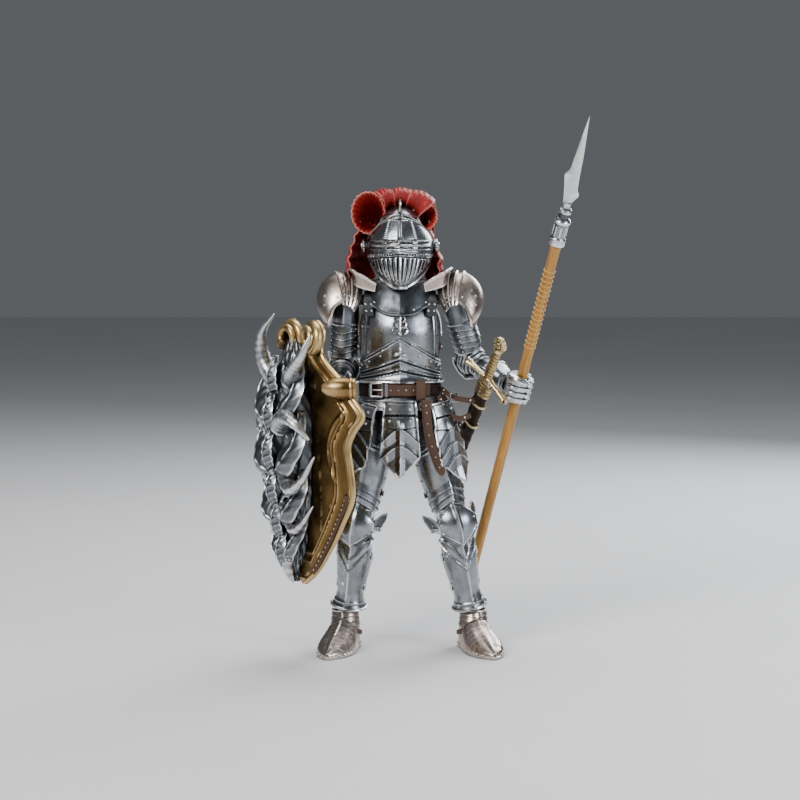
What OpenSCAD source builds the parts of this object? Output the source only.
// Articulated knight action figure with shield, spear and sheathed sword.
// The figure faces -Y and stands on z = 0. "Right" and "left" are the figure's own.

/* [Body] */
// Height of the shoulder joints above the soles
shoulder_h = 130; // [129:0.5:131]
// Distance from the middle of the body to a shoulder joint
shoulder_x = 19.8; // [19.8:0.1:20.4]
// Height of the hip joints above the soles
hip_h = 89; // [88.5:0.5:89.5]
// Distance from the middle of the body to a hip joint
hip_x = 9.8; // [9.6:0.1:10.2]
// Half width of the breastplate
chest_rx = 14.6; // [14.2:0.1:14.7]
// Half depth of the breastplate
chest_ry = 11; // [10.5:0.1:11.5]
// Thickness of the armour shells
plate = 1.1; // [0.9:0.1:1.2]

/* [Head] */
// Height of the visor pivots above the soles
pivot_h = 150; // [149.5:0.5:150.5]
// Radius of the helmet skull
skull_r = 12; // [11.8:0.1:12]
// Thickness of the helmet's comb
comb_t = 1.4; // [1:0.1:1.8]

/* [Joints] */
// Running gap between a ball and its socket
gap = 0.06; // [0.04:0.01:0.08]
// Radius of the shoulder and hip balls
ball_r = 3.4; // [3.2:0.1:3.5]
// Radius of the pegs that the shoulder and hip balls turn on
peg_r = 2; // [1.8:0.1:2.1]
// Radius of the knee pins
knee_pin_r = 1.2; // [1:0.1:1.3]
// Radius of the elbow pins
elbow_pin_r = 0.9; // [0.8:0.1:1]

/* [Weapons] */
// Radius of the spear shaft
shaft_r = 2; // [1.8:0.05:2.05]
// Length of the spear from butt to tip
spear_len = 197; // [194:1:199]
// Width of the shield board
shield_w = 58; // [56:1:60]
// Height of the shield board
shield_h = 94; // [92:1:96]
// Length of the sword blade
blade_len = 58; // [54:1:60]

/* [Base] */
// Radius of the display-stand peg holes in the soles
stand_hole_r = 1.5; // [1.3:0.1:1.6]
// Depth of the display-stand peg holes
stand_hole_d = 3.2; // [3:0.1:3.5]

/* [Hidden] */
$fn = 48;

// The frame's origin lies on the floor under the middle of the figure's bounding box
origin_shift = [-8.35053, 8.49202, 0];

// Colours
steel = "silver";
dark_steel = "dimgray";
leather = "#4a2f26";
brass = "#b08d57";
wood = "#b5852e";
red = "#a01c18";
core = "#3a3d40";

// Rest pose: joint centres of the limbs
right_shoulder = [-shoulder_x, 1, shoulder_h];
left_shoulder = [shoulder_x, 1, shoulder_h];
right_elbow = [-21, 6, 104];
left_elbow = [27, 11, 107];
right_grip = [-25.5, -18.5, 92.5];
left_grip = [43.6, -6.8, 97.7];
right_hip = [-hip_x, 0, hip_h];
left_hip = [hip_x, 0, hip_h];
right_knee = [-15.5, -2.5, 47.5];
left_knee = [19.5, -2.5, 47.5];
right_ankle = [-20.5, 3, 16];
left_ankle = [27.5, 3, 16];
right_toe_out = -13;
left_toe_out = 15;
foot_ball_h = 9.4;

// Torso joints
waist_low = [0, 0, 94];
waist_high = [0, 0, 107];
neck_low = [0, 2, 131.5];
neck_high = [0, 1, 141.5];
head_pivot = [0, 0, pivot_h];
small_ball_r = 2.6;

// Limb hardware
knee_r = 3.7;
knee_tongue = 2.2;
knee_ear = 3;
guard_half = 6;
elbow_r = 2.9;
elbow_tongue = 1.7;
elbow_ear = 2.2;
pauldron_pin = [12.9, 1, 134.8];
wrist_r = 1.6;
wrist_in = 10.2;
wrist_out = 5.6;
fist_r = 4.6;

// Weapons
spear_dir = unit([0.2257, -0.4, 1]);
spear_butt_drop = 90.5;
sword_dir = unit([0.22, -0.68, 0.7]);
sword_guard = [31.6, -14.2, 101.6];
guard_dir = unit([0.6, -0.47, -0.646]);
shield_turn = 58;
shield_curve_r = 60;
shield_t = 2;
shield_back = 9;
shield_mid_h = 76;
handle_r = 1.9;

function unit(v) = v / norm(v);
function dot3(a, b) = a[0] * b[0] + a[1] * b[1] + a[2] * b[2];
function square_off(side, up) = unit(side - dot3(side, up) * up);
function side_of(angle) = [cos(angle), sin(angle), 0];
function knee_axis(hip, ankle, toe_out) = square_off(side_of(toe_out), unit(hip - ankle));
function elbow_axis(shoulder, elbow, grip) = unit(cross(elbow - shoulder, grip - elbow));

// Puts its children in a frame with z along up and x as near to side as it can be
module in_frame(at, up, side) {
    z = unit(up);
    x = square_off(side, z);
    y = cross(z, x);
    multmatrix([
        [x[0], y[0], z[0], at[0]],
        [x[1], y[1], z[1], at[1]],
        [x[2], y[2], z[2], at[2]],
        [0, 0, 0, 1]
    ]) children();
}

// Puts its children in a frame with x exactly along axis and z as near to up as it can be
module in_hinge_frame(at, axis, up) {
    x = unit(axis);
    z = square_off(up, x);
    y = cross(z, x);
    multmatrix([
        [x[0], y[0], z[0], at[0]],
        [x[1], y[1], z[1], at[1]],
        [x[2], y[2], z[2], at[2]],
        [0, 0, 0, 1]
    ]) children();
}

// One ring of a loft. A section is [z, rx, ry, cx, cy, ridge]
function ring(s, n, a0 = 0, a1 = 360, grow = 0) = [
    for (i = [0 : n - 1])
        let (
            closed = a1 - a0 == 360,
            a = a0 + (a1 - a0) * i / (closed ? n : n - 1),
            front = max(0, -sin(a))
        )
        [
            s[3] + (s[1] + grow) * cos(a),
            s[4] + (s[2] + grow) * sin(a) - s[5] * pow(front, 6),
            s[0]
        ]
];

// Solid through a list of rings, lowest first
module loft(sections, n = 16) {
    k = len(sections);
    points = [for (s = sections) each ring(s, n)];
    sides = [
        for (j = [0 : k - 2], i = [0 : n - 1])
            let (a = j * n + i, b = j * n + (i + 1) % n)
            each [[a, a + n, b], [b, a + n, b + n]]
    ];
    bottom = [[for (i = [0 : n - 1]) i]];
    top = [[for (i = [n - 1 : -1 : 0]) (k - 1) * n + i]];
    polyhedron(concat(points), concat(bottom, sides, top), convexity = 6);
}

// Open shell of thickness t outside a list of rings, from angle a0 to a1 (-90 is the front)
module shell(sections, t, a0, a1, n = 17) {
    k = len(sections);
    inner = [for (s = sections) each ring(s, n, a0, a1)];
    outer = [for (s = sections) each ring(s, n, a0, a1, t)];
    o = k * n;
    function quad(a, b, c, d) = [[a, b, c], [a, c, d]];
    skins = [
        for (j = [0 : k - 2], i = [0 : n - 2])
            let (a = j * n + i)
            each concat(
                quad(a, a + 1, a + n + 1, a + n),
                quad(o + a, o + a + n, o + a + n + 1, o + a + 1)
            )
    ];
    rims = [
        for (i = [0 : n - 2])
            let (a = i, b = (k - 1) * n + i)
            each concat(quad(a, o + a, o + a + 1, a + 1), quad(b, b + 1, o + b + 1, o + b))
    ];
    ends = [
        for (j = [0 : k - 2])
            let (a = j * n, b = j * n + n - 1)
            each concat(quad(a, a + n, o + a + n, o + a), quad(b, o + b, o + b + n, b + n))
    ];
    polyhedron(concat(inner, outer), concat(skins, rims, ends), convexity = 8);
}

// Cylinder along x, centred
module rod_x(r, h) {
    rotate([0, 90, 0]) cylinder(r = r, h = h, center = true);
}

// Cylinder along y, centred
module rod_y(r, h) {
    rotate([90, 0, 0]) cylinder(r = r, h = h, center = true);
}

// Two balls on a neck, from low to high
module dumbbell(low, high, r_low, r_high, neck) {
    reach = norm(high - low);
    in_frame(low, high - low, [1, 0, 0]) {
        sphere(r = r_low);
        translate([0, 0, reach]) sphere(r = r_high);
        cylinder(r = neck, h = reach);
    }
}

// Room for a ball of radius r and for its neck, which leaves along +z
module socket(r, neck, reach) {
    sphere(r = r + gap);
    cylinder(r1 = neck + 0.5, r2 = neck + 0.5 + reach * 0.55, h = reach);
}

// ---- Pelvis ----

module pelvis_core() {
    color(core) difference() {
        loft([
            [83, 3.6, 5.5, 0, 0, 0], [86, 4.4, 7, 0, 0, 0], [92, 5, 7.6, 0, 0, 0],
            [94.2, 13.2, 8.2, 0, 0, 0], [99.4, 13.4, 8.6, 0, 0, 0]
        ], 20);
        translate([0, 0, hip_h]) rod_x(peg_r + gap, 30);
        translate(waist_low) socket(small_ball_r + 0.6, 1.8, 6);
    }
}

module belt() {
    color(leather) difference() {
        scale_ring(15.2, 10.4, 94.9, 99.9);
        scale_ring(13.8, 9, 94, 101);
    }
}

// Elliptical slab as a loft, from height z0 to z1
module scale_ring(rx, ry, z0, z1) {
    loft([[z0, rx, ry, 0, 0, 0], [z1, rx, ry, 0, 0, 0]], 28);
}

module belt_buckle() {
    color(brass) translate([-8.6, -9.9, 97.4]) rotate([0, 0, -17]) difference() {
        cube([5.6, 1.1, 6.4], center = true);
        cube([3.6, 3, 4.2], center = true);
    }
}

module belt_tail() {
    color(leather) hull() {
        translate([9.4, -12.3, 93.6]) cube([3.6, 1, 1.2], center = true);
        translate([10.4, -13.6, 82]) cube([3.6, 1, 1], center = true);
        translate([15.4, -14.2, 67]) cube([3, 1, 1], center = true);
    }
}

module fauld() {
    color(steel) shell([
        [91.6, 14.4, 9.9, 0, 0, 0], [93, 14, 9.6, 0, 0, 0], [94.6, 13.6, 9.2, 0, 0, 0]
    ], plate, -262, 82, 25);
}

// Pointed plate that hangs from the waist, from its top at z = 0 down to -h
module tasset_plate(w_top, w_low, h, point, bow) {
    outline = [
        [-w_top / 2, 0], [-w_low / 2, -h + point], [0, -h], [w_low / 2, -h + point], [w_top / 2, 0]
    ];
    difference() {
        intersection() {
            translate([0, bow, -h]) cylinder(r = bow + plate, h = h, $fn = 96);
            rotate([90, 0, 0]) linear_extrude(height = 3 * bow, center = true) polygon(outline);
            translate([0, -bow, -h / 2]) cube([3 * bow, 2 * bow, 2 * h], center = true);
        }
        translate([0, bow, -h - 1]) cylinder(r = bow, h = h + 2, $fn = 96);
    }
}

module front_tasset() {
    color(steel) translate([0, -11.8, 93.6]) rotate([-5, 0, 0]) tasset_plate(11.4, 15.6, 27.5, 9.5, 12);
}

module rear_tasset() {
    color(steel) translate([0, 11.9, 93.4]) rotate([0, 0, 180]) rotate([-8, 0, 0])
        tasset_plate(16, 15.6, 20, 6, 14);
}

module side_tasset(side) {
    color(steel) translate([side * 15.1, -7.4, 92.8]) rotate([0, 0, side * 58]) rotate([-15, 0, 0])
        tasset_plate(9.6, 15, 30, 9, 11);
}

module right_tasset() side_tasset(-1);
module left_tasset() side_tasset(1);

// ---- Waist, torso and neck joints ----

module waist_joint() {
    color(core) dumbbell(waist_low, waist_high, small_ball_r + 0.6, small_ball_r + 0.6, 1.8);
}

function chest_sections(in) = [
    [102.2, chest_rx - 0.6 - in, chest_ry - 1.2 - in, 0, 0, 0.4],
    [106, chest_rx - 0.3 - in, chest_ry - 0.6 - in, 0, 0, 0.6],
    [114, chest_rx - in, chest_ry + 0.2 - in, 0, 0, 0.8],
    [121, chest_rx - 0.2 - in, chest_ry + 0.1 - in, 0, 0, 0.6],
    [126, chest_rx - 0.8 - in, chest_ry - 1 - in, 0, 0.4, 0.3],
    [129.5, chest_rx - 1.4 - in, chest_ry - 2.6 - in, 0, 1, 0]
];

module torso_core() {
    color(core) difference() {
        union() {
            loft(concat(chest_sections(plate + 0.1), [
                [129.9, 9.6, 7.4, 0, 1, 0], [133.4, 7.6, 6.2, 0, 1.4, 0]
            ]), 24);
            for (side = [-1, 1]) pauldron_bracket(side);
        }
        translate([0, right_shoulder[1], shoulder_h]) rod_x(peg_r + gap, 60);
        translate(waist_high) rotate([180, 0, 0]) socket(small_ball_r + 0.6, 1.8, 8);
        translate(neck_low) socket(small_ball_r, 1.5, 6);
    }
}

// Two posts on the shoulder slope that hold the pin of a pauldron's hinge
module pauldron_bracket(side) {
    translate([side * pauldron_pin[0], pauldron_pin[1], pauldron_pin[2]]) {
        rod_y(0.7, 14);
        for (end = [-1, 1]) {
            translate([0, end * 6.2, 0]) rod_y(1.3, 1.6);
            translate([-side * 1.3, end * 6.2, -2.9]) cube([2.4, 1.6, 4.6], center = true);
        }
    }
}

// The shoulder pegs pass the side seams between breastplate and backplate
module peg_clearance() {
    translate([0, right_shoulder[1], shoulder_h]) rod_x(peg_r + 0.4, 60);
}

module breastplate() {
    color(steel) difference() {
        shell(chest_sections(plate), plate, -176, -4, 23);
        peg_clearance();
    }
}

module backplate() {
    color(steel) difference() {
        shell(chest_sections(plate), plate, 4, 176, 19);
        peg_clearance();
    }
}

module gorget() {
    color(dark_steel) difference() {
        shell([
            [130.1, 10.2, 9.3, 0, 0.6, 1.6], [131.4, 9.6, 8.6, 0, 0.9, 1.2],
            [133, 8.9, 8, 0, 1.2, 0.6], [134.8, 8.2, 7.6, 0, 1.2, 0.2]
        ], plate, -268, 88, 29);
        peg_clearance();
    }
}

module neck_joint() {
    color(core) dumbbell(neck_low, neck_high, small_ball_r, small_ball_r, 1.5);
}

// ---- Head ----

module head() {
    color("#c9a58a") difference() {
        loft([
            [138.6, 5, 4.4, 0, -0.4, 0], [141, 6.6, 7.2, 0, -1.2, 0], [146, 8.2, 9, 0, -0.8, 0.4],
            [152, 8.8, 9.4, 0, 0, 0.4], [157, 6.6, 7.4, 0, 0.2, 0], [159.4, 3.6, 4.2, 0, 0.4, 0]
        ], 20);
        translate(neck_high) rotate([180, 0, 0]) socket(small_ball_r, 1.5, 6);
    }
}

module helmet_skull() {
    skull_in = skull_r - plate;
    color(steel) difference() {
        union() {
            translate(head_pivot) rotate_extrude($fn = 96) skull_profile(skull_in);
            comb();
        }
        translate([0, -skull_r - 2, pivot_h - 8]) cube([17, 24, 28], center = true);
        translate([0, -skull_r, pivot_h - 8.5]) cube([60, 20, 15], center = true);
        translate(head_pivot) rod_x(1.35, 60);
    }
}

// Half section of the helmet bowl: a dome above the pivots and a neck guard below
module skull_profile(skull_in) {
    difference() {
        union() {
            intersection() {
                circle(r = skull_r, $fn = 96);
                square([skull_r + 1, skull_r + 1]);
            }
            polygon([[0, 0], [skull_r, 0], [skull_r - 0.6, -8], [skull_r + 0.6, -12.5], [0, -12.5]]);
        }
        intersection() {
            circle(r = skull_in, $fn = 96);
            translate([-1, 0]) square([skull_r + 1, skull_r + 1]);
        }
        polygon([[-1, -13], [-1, 1], [0, 0], [skull_in, 0], [skull_in - 0.6, -8], [skull_in + 0.6, -13]]);
    }
}

// Fin along the helmet's middle, which overhangs the brow so that the visor slides under it
module comb() {
    difference() {
        translate(head_pivot) rotate([0, 90, 0]) linear_extrude(height = comb_t, center = true)
            difference() {
                circle(r = 15.4, $fn = 96);
                circle(r = skull_r - 0.6, $fn = 96);
            }
        translate([0, 0, pivot_h - 20]) cube([9, 60, 42], center = true);
        translate([0, -17.4, pivot_h - 2]) cube([9, 20, 22], center = true);
        translate([0, 24, pivot_h]) cube([9, 37, 60], center = true);
        translate([0, 0, pivot_h]) rotate([0, 90, 0]) intersection() {
            cylinder(r = 13.9, h = 9, center = true, $fn = 96);
            translate([-14, -10, 0]) cube([30, 24, 10], center = true);
        }
    }
}

// Red cloth-like crest: a shell over the back of the helmet, two rolls and a neck cape
module mantling() {
    color(red) difference() {
        union() {
            translate([0, 0, pivot_h]) sphere(r = 17.5, $fn = 96);
            translate([-11.5, 6, 162]) rod_y(8.2, 15);
            translate([9, 7, 161.5]) rod_y(6.4, 13);
            translate([0, 14.2, 148]) cube([24, 5.6, 18], center = true);
        }
        translate([0, 0, pivot_h]) sphere(r = skull_r + 0.15, $fn = 96);
        translate([0, 0, pivot_h - 15]) cylinder(r = skull_r + 0.8, h = 15, $fn = 96);
        intersection() {
            translate(head_pivot) sphere(r = 14, $fn = 96);
            translate([0, -11, pivot_h]) cube([60, 40, 60], center = true);
        }
        intersection() {
            translate(head_pivot) rod_x(15.7, 2.2);
            translate([0, -13.5, pivot_h + 10]) cube([9, 40, 30], center = true);
        }
        translate([0, -16.8, pivot_h - 4]) cube([60, 40, 18], center = true);
        translate([-11.5, 3, 162]) rod_y(6.6, 20);
        translate([9, 4, 161.5]) rod_y(4.9, 18);
        translate([0, -22.4, pivot_h]) cube([60, 42, 60], center = true);
        translate([0, -16, pivot_h - 12]) cube([60, 54, 24], center = true);
    }
}

module visor_pivots() {
    color(steel) for (side = [-1, 1]) translate([side * 13, 0, pivot_h]) {
        rod_x(1.25, 5.4);
        translate([side * 1.9, 0, 0]) rod_x(2.6, 1);
    }
}

// Face guard: a shell concentric with its pivots, with a keeled snout below the eye slits
module visor() {
    inside = skull_r + 0.35;
    outside = inside + 1.15;
    color(steel) difference() {
        union() {
            translate(head_pivot) sphere(r = outside, $fn = 96);
            visor_snout(0);
        }
        translate(head_pivot) sphere(r = inside, $fn = 96);
        visor_snout(1.1);
        translate([0, 0, -2.4]) visor_snout(1.1);
        translate([0, 16.6, pivot_h]) cube([60, 30, 60], center = true);
        translate([0, -8, pivot_h + 12.5]) cube([60, 44, 8], center = true);
        translate([0, 12, pivot_h - 17]) cube([60, 30, 30], center = true);
        translate([0, 0, pivot_h - 30.4]) cube([60, 60, 32], center = true);
        translate(head_pivot) rod_x(1.3, 60);
        for (z = [-1.4, -3.8]) translate([0, -12, pivot_h + z + 2.6]) cube([17, 12, 0.8], center = true);
        for (i = [-4 : 4]) if (i != 0)
            translate([i * 1.75, -16, pivot_h - 8.4 + abs(i) * 0.2])
                cube([0.7, 14, 7 - abs(i) * 0.7], center = true);
    }
}

module visor_snout(in) {
    loft([
        [135.2, 4.6 - in, 8.6 - in, 0, -5.4, 1.4],
        [138, 8 - in, 11.6 - in, 0, -3.6, 2],
        [143, 11.4 - in, 13.4 - in, 0, -1.6, 2.2],
        [147, 12.9 - in, 14 - in, 0, -0.4, 1.6],
        [150.6, 13.3 - in, 13.6 - in, 0, 0, 0.4]
    ], 28);
}

// ---- Arms ----

module shoulder_joint(shoulder, side) {
    color(core) translate(shoulder) {
        rotate([0, 0, 90]) sphere(r = ball_r);
        translate([-side * 6.9, 0, 0]) rod_x(peg_r, 13.8);
    }
}

module right_shoulder_joint() shoulder_joint(right_shoulder, -1);
module left_shoulder_joint() shoulder_joint(left_shoulder, 1);

// Band of a shoulder guard: revolved about y, from angle a0 to a1 (0 is outward, 90 is up)
module lame(r, half, a0, a1) {
    t = plate - 0.1;
    outer = [for (i = [-4 : 4]) [r - 2.4 * pow(i / 4, 2), half * i / 4]];
    inner = [for (i = [4 : -1 : -4]) [r - t - 2.4 * pow(i / 4, 2), half * i / 4]];
    rotate([90, 0, 0]) rotate([0, 0, a0]) rotate_extrude(angle = a1 - a0) polygon(concat(outer, inner));
}

// Shoulder guard: overlapping bands, a flared lower plate and a raised guard beside the neck
module pauldron(shoulder, side) {
    color(steel) translate(shoulder) mirror([side > 0 ? 0 : 1, 0, 0]) difference() {
        union() {
            lame(10, 7.6, 96, 124);
            lame(10.4, 8.2, 66, 98);
            lame(10.8, 8.8, 38, 68);
            lame(11.2, 9.2, -40, 40);
            translate([-5.5, 0, 8.3]) rotate([0, 12, 0]) neck_guard();
            translate(pauldron_pin - [shoulder_x, 1, shoulder_h]) {
                rod_y(1.4, 10.4);
                translate([0.6, 0, 1.5]) rotate([0, 22, 0]) cube([1.1, 9.8, 3.4], center = true);
            }
        }
        translate(pauldron_pin - [shoulder_x, 1, shoulder_h]) rod_y(0.76, 30);
    }
}

// Standing collar of a shoulder guard, an upright curved plate
module neck_guard() {
    intersection() {
        rotate([0, 90, 0]) linear_extrude(height = 8, center = true) polygon([
            [1, -7.4], [-2.6, -7], [-4.8, -3.6], [-5.4, 0], [-3.8, 3.4], [-1.4, 5], [1, 5.4]
        ]);
        difference() {
            translate([22, 0, -2]) cylinder(r = 22, h = 10, $fn = 96);
            translate([22, 0, -3]) cylinder(r = 21.1, h = 12, $fn = 96);
        }
    }
}

module right_pauldron() pauldron(right_shoulder, -1);
module left_pauldron() pauldron(left_shoulder, 1);

// Clevis and tongue hardware for a hinge whose axis is x, at the local origin
module ears(r, tongue, ear, rise) {
    for (s = [-1, 1]) translate([s * (tongue + 0.1 + ear / 2), 0, 0]) {
        rod_x(r, ear);
        translate([0, 0, rise / 2]) cube([ear, 2 * r * 0.9, rise], center = true);
    }
}

module tongue_of(r, tongue, drop) {
    rod_x(r, 2 * tongue);
    translate([0, 0, -drop / 2]) cube([2 * tongue, 2 * r * 0.8, drop], center = true);
}

module upper_arm(shoulder, elbow, grip) {
    length = norm(shoulder - elbow);
    color(steel) in_frame(elbow, shoulder - elbow, -elbow_axis(shoulder, elbow, grip)) difference() {
        union() {
            loft([
                [5.2, 4.4, 4.2, 0, 0.4, 0], [8, 4.7, 4.7, 0, 0, 0], [14, 4.7, 4.8, 0, 0, 0],
                [length - 3, 4.6, 4.8, 0, 0, 0], [length + 2.4, 3.6, 3.8, 0, 0, 0]
            ], 16);
            ears(elbow_r, elbow_tongue, elbow_ear, 6);
        }
        rod_x(elbow_pin_r, 30);
        translate([0, 0, length]) sphere(r = ball_r + gap);
        translate([0, 0, length + 3]) cylinder(r1 = 1.6, r2 = 5, h = 3);
    }
}

// Room for the shoulder peg while the arm is raised
module peg_sweep(shoulder, side) {
    translate(shoulder) for (a = [0, 14, 28, 42])
        rotate([0, side * a, 0]) translate([-side * 7, 0, 0]) rod_x(peg_r + 0.3, 14);
}

module right_upper_arm() difference() {
    upper_arm(right_shoulder, right_elbow, right_grip);
    peg_sweep(right_shoulder, -1);
}

module left_upper_arm() difference() {
    upper_arm(left_shoulder, left_elbow, left_grip);
    peg_sweep(left_shoulder, 1);
}

module elbow_pin(shoulder, elbow, grip) {
    color(dark_steel) in_frame(elbow, shoulder - elbow, -elbow_axis(shoulder, elbow, grip))
        rod_x(elbow_pin_r, 2 * (elbow_tongue + elbow_ear + 0.1));
}

module right_elbow_pin() elbow_pin(right_shoulder, right_elbow, right_grip);
module left_elbow_pin() elbow_pin(left_shoulder, left_elbow, left_grip);

// Elbow cop: wraps the outside of the elbow and turns by half of the bend
module elbow_guard(shoulder, elbow, grip) {
    outward = unit(unit(elbow - shoulder) - unit(grip - elbow));
    color(steel) in_frame(elbow, -elbow_axis(shoulder, elbow, grip), outward) difference() {
        union() {
            sphere(r = 6.9, $fn = 48);
            translate([3.6, 0, 0]) cylinder(r = 5.4, h = 10.6, center = true);
        }
        sphere(r = 5.9, $fn = 48);
        translate([-9.2, 0, 0]) cube([18, 30, 30], center = true);
        cylinder(r = 6.1, h = 9, center = true);
        for (s = [-1, 1]) translate([0, s * 11, 0]) cube([30, 12, 30], center = true);
    }
}

module right_elbow_guard() elbow_guard(right_shoulder, right_elbow, right_grip);
module left_elbow_guard() elbow_guard(left_shoulder, left_elbow, left_grip);

module forearm(shoulder, elbow, grip) {
    length = norm(elbow - grip);
    cuff = length - wrist_in;
    color(steel) in_frame(elbow, elbow - grip, -elbow_axis(shoulder, elbow, grip)) difference() {
        union() {
            loft([
                [-cuff, 3.2, 3.2, 0, 0, 0], [-cuff + 3, 3.6, 3.6, 0, 0, 0],
                [-10, 4.4, 4.4, 0, 0, 0], [-7.5, 4.5, 4.5, 0, 0.3, 0], [-5, 4.1, 3.8, 0, 0.5, 0]
            ], 16);
            tongue_of(elbow_r, elbow_tongue, 7);
        }
        rod_x(elbow_pin_r + gap, 30);
        translate([0, 0, -cuff]) mirror([0, 0, 1]) socket(wrist_r, 0.9, 3);
        translate([0, 0, -cuff]) sphere(r = wrist_r + gap);
    }
}

module right_forearm() forearm(right_shoulder, right_elbow, right_grip);
module left_forearm() forearm(left_shoulder, left_elbow, left_grip);

function wrist_point(elbow, grip, back) = grip + back * unit(elbow - grip);

module wrist_joint(elbow, grip) {
    color(core) dumbbell(
        wrist_point(elbow, grip, wrist_out), wrist_point(elbow, grip, wrist_in), wrist_r, wrist_r, 0.9
    );
}

module right_wrist_joint() wrist_joint(right_elbow, right_grip);
module left_wrist_joint() wrist_joint(left_elbow, left_grip);

// Closed fist around a bar that runs along its local z
module hand(elbow, grip, bar, bar_r) {
    color(steel) difference() {
        in_frame(grip, bar, cross(elbow - grip, bar)) difference() {
            union() {
                translate([0, 0, -4.3]) cylinder(r = fist_r, h = 8.6);
                translate([-3.6, 0, -3.4]) cube([7.2, 6.4, 6.8]);
            }
            cylinder(r = bar_r + gap, h = 30, center = true);
        }
        in_frame(wrist_point(elbow, grip, wrist_out), elbow - grip, [0, 0, 1]) socket(wrist_r, 0.9, 4);
    }
}

module right_hand() hand(right_elbow, right_grip, [0, 0, 1], handle_r);
module left_hand() hand(left_elbow, left_grip, spear_dir, shaft_r);

// ---- Legs ----

module hip_joint(hip, side) {
    color(core) translate(hip) {
        rotate([0, 0, 90]) sphere(r = ball_r);
        translate([-side * 4.4, 0, 0]) rod_x(peg_r, 8.8);
    }
}

module right_hip_joint() hip_joint(right_hip, -1);
module left_hip_joint() hip_joint(left_hip, 1);

module thigh(hip, knee, ankle, toe_out, side) {
    length = norm(hip - knee);
    axis = knee_axis(hip, ankle, toe_out);
    difference() {
        color(steel) in_hinge_frame(knee, axis, hip - knee) difference() {
            union() {
                loft([
                    [5.4, 5.3, 4.3, 0, -0.1, 0], [10, 6.3, 6, 0, -0.4, 0.4],
                    [20, 7.5, 7.8, 0, 0, 0.4], [30, 7.7, 8, side * 0.6, 0, 0.2],
                    [length - 4, 6, 6.8, side * 1.2, 0, 0], [length + 1.8, 3.8, 4.4, side * 0.8, 0, 0]
                ], 18);
                ears(knee_r, knee_tongue, knee_ear, 8);
            }
            rod_x(knee_pin_r, 30);
        }
        translate(hip) sphere(r = ball_r + gap);
        translate(hip) for (a = [-6, 4, 14])
            rotate([0, side * a, 0]) translate([-side * 7, 0, 0]) rod_x(peg_r + 0.3, 14);
    }
}

module right_thigh() thigh(right_hip, right_knee, right_ankle, right_toe_out, -1);
module left_thigh() thigh(left_hip, left_knee, left_ankle, left_toe_out, 1);

module knee_pin(hip, knee, ankle, toe_out) {
    color(dark_steel) in_hinge_frame(knee, knee_axis(hip, ankle, toe_out), hip - knee)
        rod_x(knee_pin_r, 2 * guard_half + 2);
}

module right_knee_pin() knee_pin(right_hip, right_knee, right_ankle, right_toe_out);
module left_knee_pin() knee_pin(left_hip, left_knee, left_ankle, left_toe_out);

// Knee cop: wraps the front of the knee on the knee's own pin and turns by half of the bend
module knee_guard(hip, ankle, knee, toe_out, side) {
    w = guard_half;
    color(steel) in_hinge_frame(knee, knee_axis(hip, ankle, toe_out), hip - ankle) difference() {
        union() {
            rotate([0, 90, 0]) rotate([0, 0, -136]) rotate_extrude(angle = 92) polygon([
                [2, -w - 1], [6.4, -w - 1], [8.4, -w], [9.4, -3.4], [9.6, -1], [10.3, 0],
                [9.6, 1], [9.4, 3.4], [8.4, w], [6.4, w + 1], [2, w + 1],
                [2, w], [6, w], [7.8, w - 0.8], [8.5, 3], [8.6, 0],
                [8.5, -3], [7.8, -w + 0.8], [6, -w], [2, -w]
            ]);
            for (end = [-1, 1]) translate([end * (w + 0.5), 0, 0]) rod_x(side == end ? 5 : 3.4, 1);
        }
        rod_x(knee_pin_r + gap, 30);
    }
}

module right_knee_guard() knee_guard(right_hip, right_ankle, right_knee, right_toe_out, -1);
module left_knee_guard() knee_guard(left_hip, left_ankle, left_knee, left_toe_out, 1);

module shin(hip, knee, ankle, toe_out) {
    length = norm(knee - ankle);
    color(steel) difference() {
        in_hinge_frame(knee, knee_axis(hip, ankle, toe_out), knee - ankle) difference() {
            union() {
                loft([
                    [-length + 0.4, 6, 6, 0, 0.2, 0.2], [-length + 2, 5.4, 5.4, 0, 0.2, 0.3],
                    [-length + 6, 4.7, 4.9, 0, 0.3, 0.5], [-length + 13, 5.7, 6.2, 0, 0.6, 0.6],
                    [-length + 20, 6.2, 6.6, 0, 0.4, 0.6], [-8.6, 5.5, 5.4, 0, 0, 0.4],
                    [-5.8, 5, 4.6, 0, 0, 0]
                ], 18);
                tongue_of(knee_r, knee_tongue, 8);
            }
            rod_x(knee_pin_r + gap, 30);
        }
        translate(ankle) sphere(r = small_ball_r + gap);
        translate(ankle - [0, 0, 0.4]) cylinder(r1 = 4.8, r2 = 2.4, h = 2.2);
    }
}

module right_shin() shin(right_hip, right_knee, right_ankle, right_toe_out);
module left_shin() shin(left_hip, left_knee, left_ankle, left_toe_out);

function foot_ball(ankle) = [ankle[0], ankle[1], foot_ball_h];

module ankle_joint(ankle) {
    color(core) dumbbell(foot_ball(ankle), ankle, small_ball_r, small_ball_r, 1.5);
}

module right_ankle_joint() ankle_joint(right_ankle);
module left_ankle_joint() ankle_joint(left_ankle);

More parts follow.
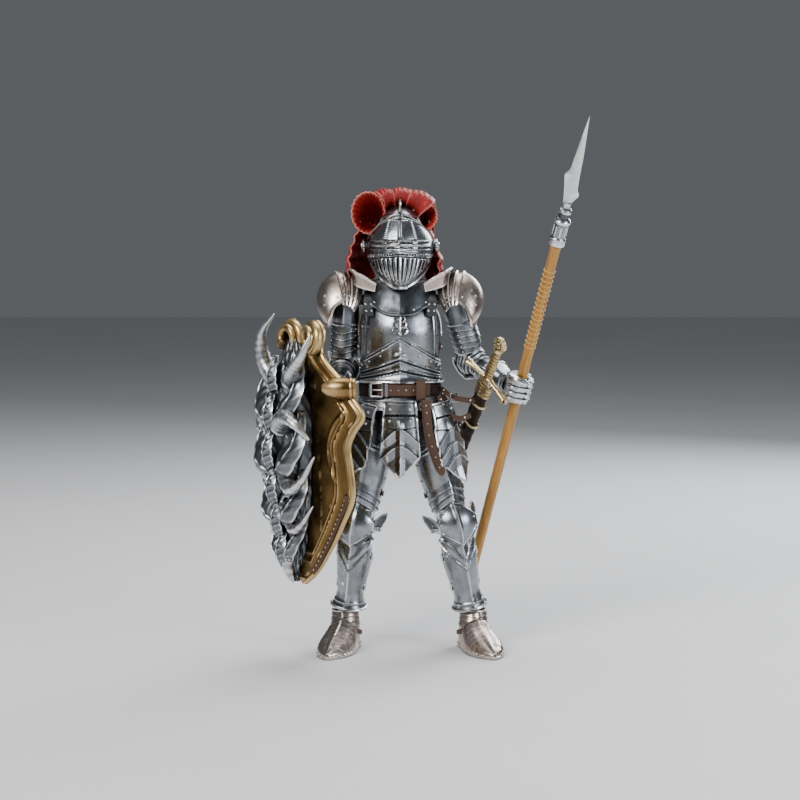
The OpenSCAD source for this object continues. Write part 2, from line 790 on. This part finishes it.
// Plated shoe, from above, with a pointed toe
module foot(ankle, toe_out) {
    color(steel) translate([ankle[0], ankle[1], 0]) rotate([0, 0, toe_out]) difference() {
        intersection() {
            linear_extrude(height = 12.6) foot_outline();
            rotate([0, 90, 0]) linear_extrude(height = 20, center = true) polygon([
                [0, -27], [-1.6, -27], [-4, -20], [-6.6, -13], [-9.4, -7], [-12.4, -4.6],
                [-12.4, 4.6], [-8, 6.6], [0, 6.6]
            ]);
            translate([0, 10, 2.2]) rotate([90, 0, 0]) cylinder(r = 9, h = 38, $fn = 64);
        }
        translate([0, 0, foot_ball_h]) socket(small_ball_r, 1.5, 6);
        translate([0, -14, -0.01]) cylinder(r = stand_hole_r, h = stand_hole_d);
    }
}

module foot_outline() {
    polygon([
        [-4.2, 6.2], [4.2, 6.2], [5.2, 2], [5.2, -4], [6.1, -10], [6, -15],
        [4.4, -20.5], [1, -25.6], [-1, -25.6], [-4.4, -20.5], [-6, -15], [-6.1, -10], [-5.2, -4], [-5.2, 2]
    ]);
}

module right_foot() foot(right_ankle, right_toe_out);
module left_foot() foot(left_ankle, left_toe_out);

// ---- Spear ----

module in_spear_frame() in_frame(left_grip, spear_dir, [1, 0, 0]) children();

head_len = 48;
shaft_top = spear_len - spear_butt_drop - head_len;

module spear_shaft() {
    color(wood) in_spear_frame() {
        translate([0, 0, -spear_butt_drop]) cylinder(r = shaft_r, h = spear_butt_drop + shaft_top - 0.1);
    }
}

module spear_head() {
    color(steel) in_spear_frame() translate([0, 0, shaft_top]) union() {
        rotate_extrude() polygon([
            [0, 0], [2.9, 0], [2.9, 2], [2.5, 2.6], [2.4, 7], [2.9, 7.6], [2.6, 9], [1.9, 9.6],
            [1.8, 11.4], [2.5, 12], [2.3, 13], [0, 13]
        ]);
        rotate([90, 0, 0]) linear_extrude(height = 1, center = true) polygon([
            [-1.7, 12], [-2.2, 19], [-2.9, 25], [-1.3, 31], [0, head_len], [1.2, 31],
            [2.6, 19.5], [1.4, 16.5], [1.3, 12]
        ]);
    }
}

// ---- Sword ----

module in_sword_frame() in_frame(sword_guard, sword_dir, guard_dir) children();

module sword_blade() {
    color(steel) in_sword_frame() translate([0, 0, -blade_len - 1])
        linear_extrude(height = blade_len) polygon([[-2, 0], [0, -0.5], [2, 0], [0, 0.5]]);
}

module sword_hilt() {
    color(brass) in_sword_frame() union() {
        cube([21, 2.2, 2], center = true);
        cylinder(r1 = 1.7, r2 = 1.35, h = 17);
        translate([0, 0, 19]) rod_y(3, 2.6);
    }
}

module scabbard() {
    color(leather) in_sword_frame() difference() {
        translate([0, 0, -blade_len - 3]) linear_extrude(height = blade_len + 1.4) polygon([
            [-3.1, 0], [-2, -1.4], [2, -1.4], [3.1, 0], [2, 1.4], [-2, 1.4]
        ]);
        translate([0, 0, -blade_len - 1.3]) linear_extrude(height = blade_len + 4)
            polygon([[-2.25, 0], [0, -0.65], [2.25, 0], [0, 0.65]]);
    }
}

// Two straps that hang the scabbard from the belt
module scabbard_straps() {
    color(leather) {
        strap([14.7, 0, 97.6], [26.6, -5.4, 93.4]);
        strap([14.5, 3.4, 96.6], [23.4, 4.6, 81.6]);
    }
}

module strap(from, to) {
    in_frame(from, to - from, [0, 1, 0]) translate([-0.5, -1.3, 0]) cube([1, 2.6, norm(to - from)]);
}

// ---- Shield ----

module in_shield_frame() {
    translate([right_grip[0], right_grip[1], shield_mid_h]) rotate([0, 0, -shield_turn])
        translate([0, -shield_back, 0]) children();
}

// Heater outline with a narrow scrolled top and waisted sides
module shield_outline(in) {
    half = shield_w / 2 - in;
    high = shield_h / 2 - in;
    polygon([
        [0, high - 5], [half * 0.2, high - 2], [half * 0.34, high], [half * 0.42, high - 5],
        [half * 0.36, high - 12], [half * 0.69, high - 20], [half, high - 33],
        [half * 0.8, high * 0.1], [half * 0.86, -high * 0.3], [half * 0.5, -high * 0.72], [0, -high],
        [-half * 0.5, -high * 0.72], [-half * 0.86, -high * 0.3], [-half * 0.8, high * 0.1],
        [-half, high - 33], [-half * 0.69, high - 20], [-half * 0.36, high - 12],
        [-half * 0.42, high - 5], [-half * 0.34, high], [-half * 0.2, high - 2]
    ]);
}

module shield_board() {
    color(brass) in_shield_frame() difference() {
        intersection() {
            rotate([90, 0, 0]) linear_extrude(height = 60, center = true) shield_outline(0);
            translate([0, shield_curve_r, -60]) cylinder(r = shield_curve_r + shield_t, h = 120, $fn = 128);
            translate([0, -10, 0]) cube([80, 44, 120], center = true);
        }
        translate([0, shield_curve_r, -61]) cylinder(r = shield_curve_r, h = 122, $fn = 128);
    }
}

// Raised ornament on the face of the shield: a ribbed spine, leaves and thorns
module shield_relief() {
    color(steel) in_shield_frame() translate([-3, -shield_t - 0.1, 0]) {
        intersection() {
            loft([
                [-46, 2.5, 2.5, 0, 0, 0], [-30, 7, 6, 0, 0, 1], [-12, 9, 8, 0, 0, 2],
                [2, 13, 10, 0, 0, 2], [16, 12, 9, 0, 0, 2], [30, 9, 6, 0, 0, 1], [38, 4, 3, 0, 0, 0]
            ], 20);
            translate([0, -10, 0]) cube([60, 20, 120], center = true);
        }
        for (s = [-1, 1]) translate([s * 8, -3, 28]) rotate([6, s * 16, 0])
            cylinder(r1 = 3, r2 = 0.8, h = 20);
    }
}

module shield_handle() {
    grip_h = right_grip[2] - shield_mid_h;
    color(leather) in_shield_frame() translate([0, shield_back, grip_h]) {
        cylinder(r = handle_r, h = 18, center = true);
        for (s = [-1, 1]) translate([0, -shield_back / 2 + 0.35, s * 8])
            cube([3.4, shield_back - 0.6, 2.2], center = true);
    }
}

module placed() translate(origin_shift) children();

placed() pelvis_core();
placed() belt();
placed() belt_buckle();
placed() belt_tail();
placed() fauld();
placed() front_tasset();
placed() rear_tasset();
placed() right_tasset();
placed() left_tasset();
placed() scabbard();
placed() scabbard_straps();
placed() waist_joint();
placed() torso_core();
placed() breastplate();
placed() backplate();
placed() gorget();
placed() neck_joint();
placed() head();
placed() helmet_skull();
placed() mantling();
placed() visor_pivots();
placed() visor();
placed() right_shoulder_joint();
placed() left_shoulder_joint();
placed() right_pauldron();
placed() left_pauldron();
placed() right_upper_arm();
placed() left_upper_arm();
placed() right_elbow_pin();
placed() left_elbow_pin();
placed() right_elbow_guard();
placed() left_elbow_guard();
placed() right_forearm();
placed() left_forearm();
placed() right_wrist_joint();
placed() left_wrist_joint();
placed() right_hand();
placed() left_hand();
placed() right_hip_joint();
placed() left_hip_joint();
placed() right_thigh();
placed() left_thigh();
placed() right_knee_pin();
placed() left_knee_pin();
placed() right_knee_guard();
placed() left_knee_guard();
placed() right_shin();
placed() left_shin();
placed() right_ankle_joint();
placed() left_ankle_joint();
placed() right_foot();
placed() left_foot();
placed() spear_shaft();
placed() spear_head();
placed() sword_blade();
placed() sword_hilt();
placed() shield_board();
placed() shield_relief();
placed() shield_handle();
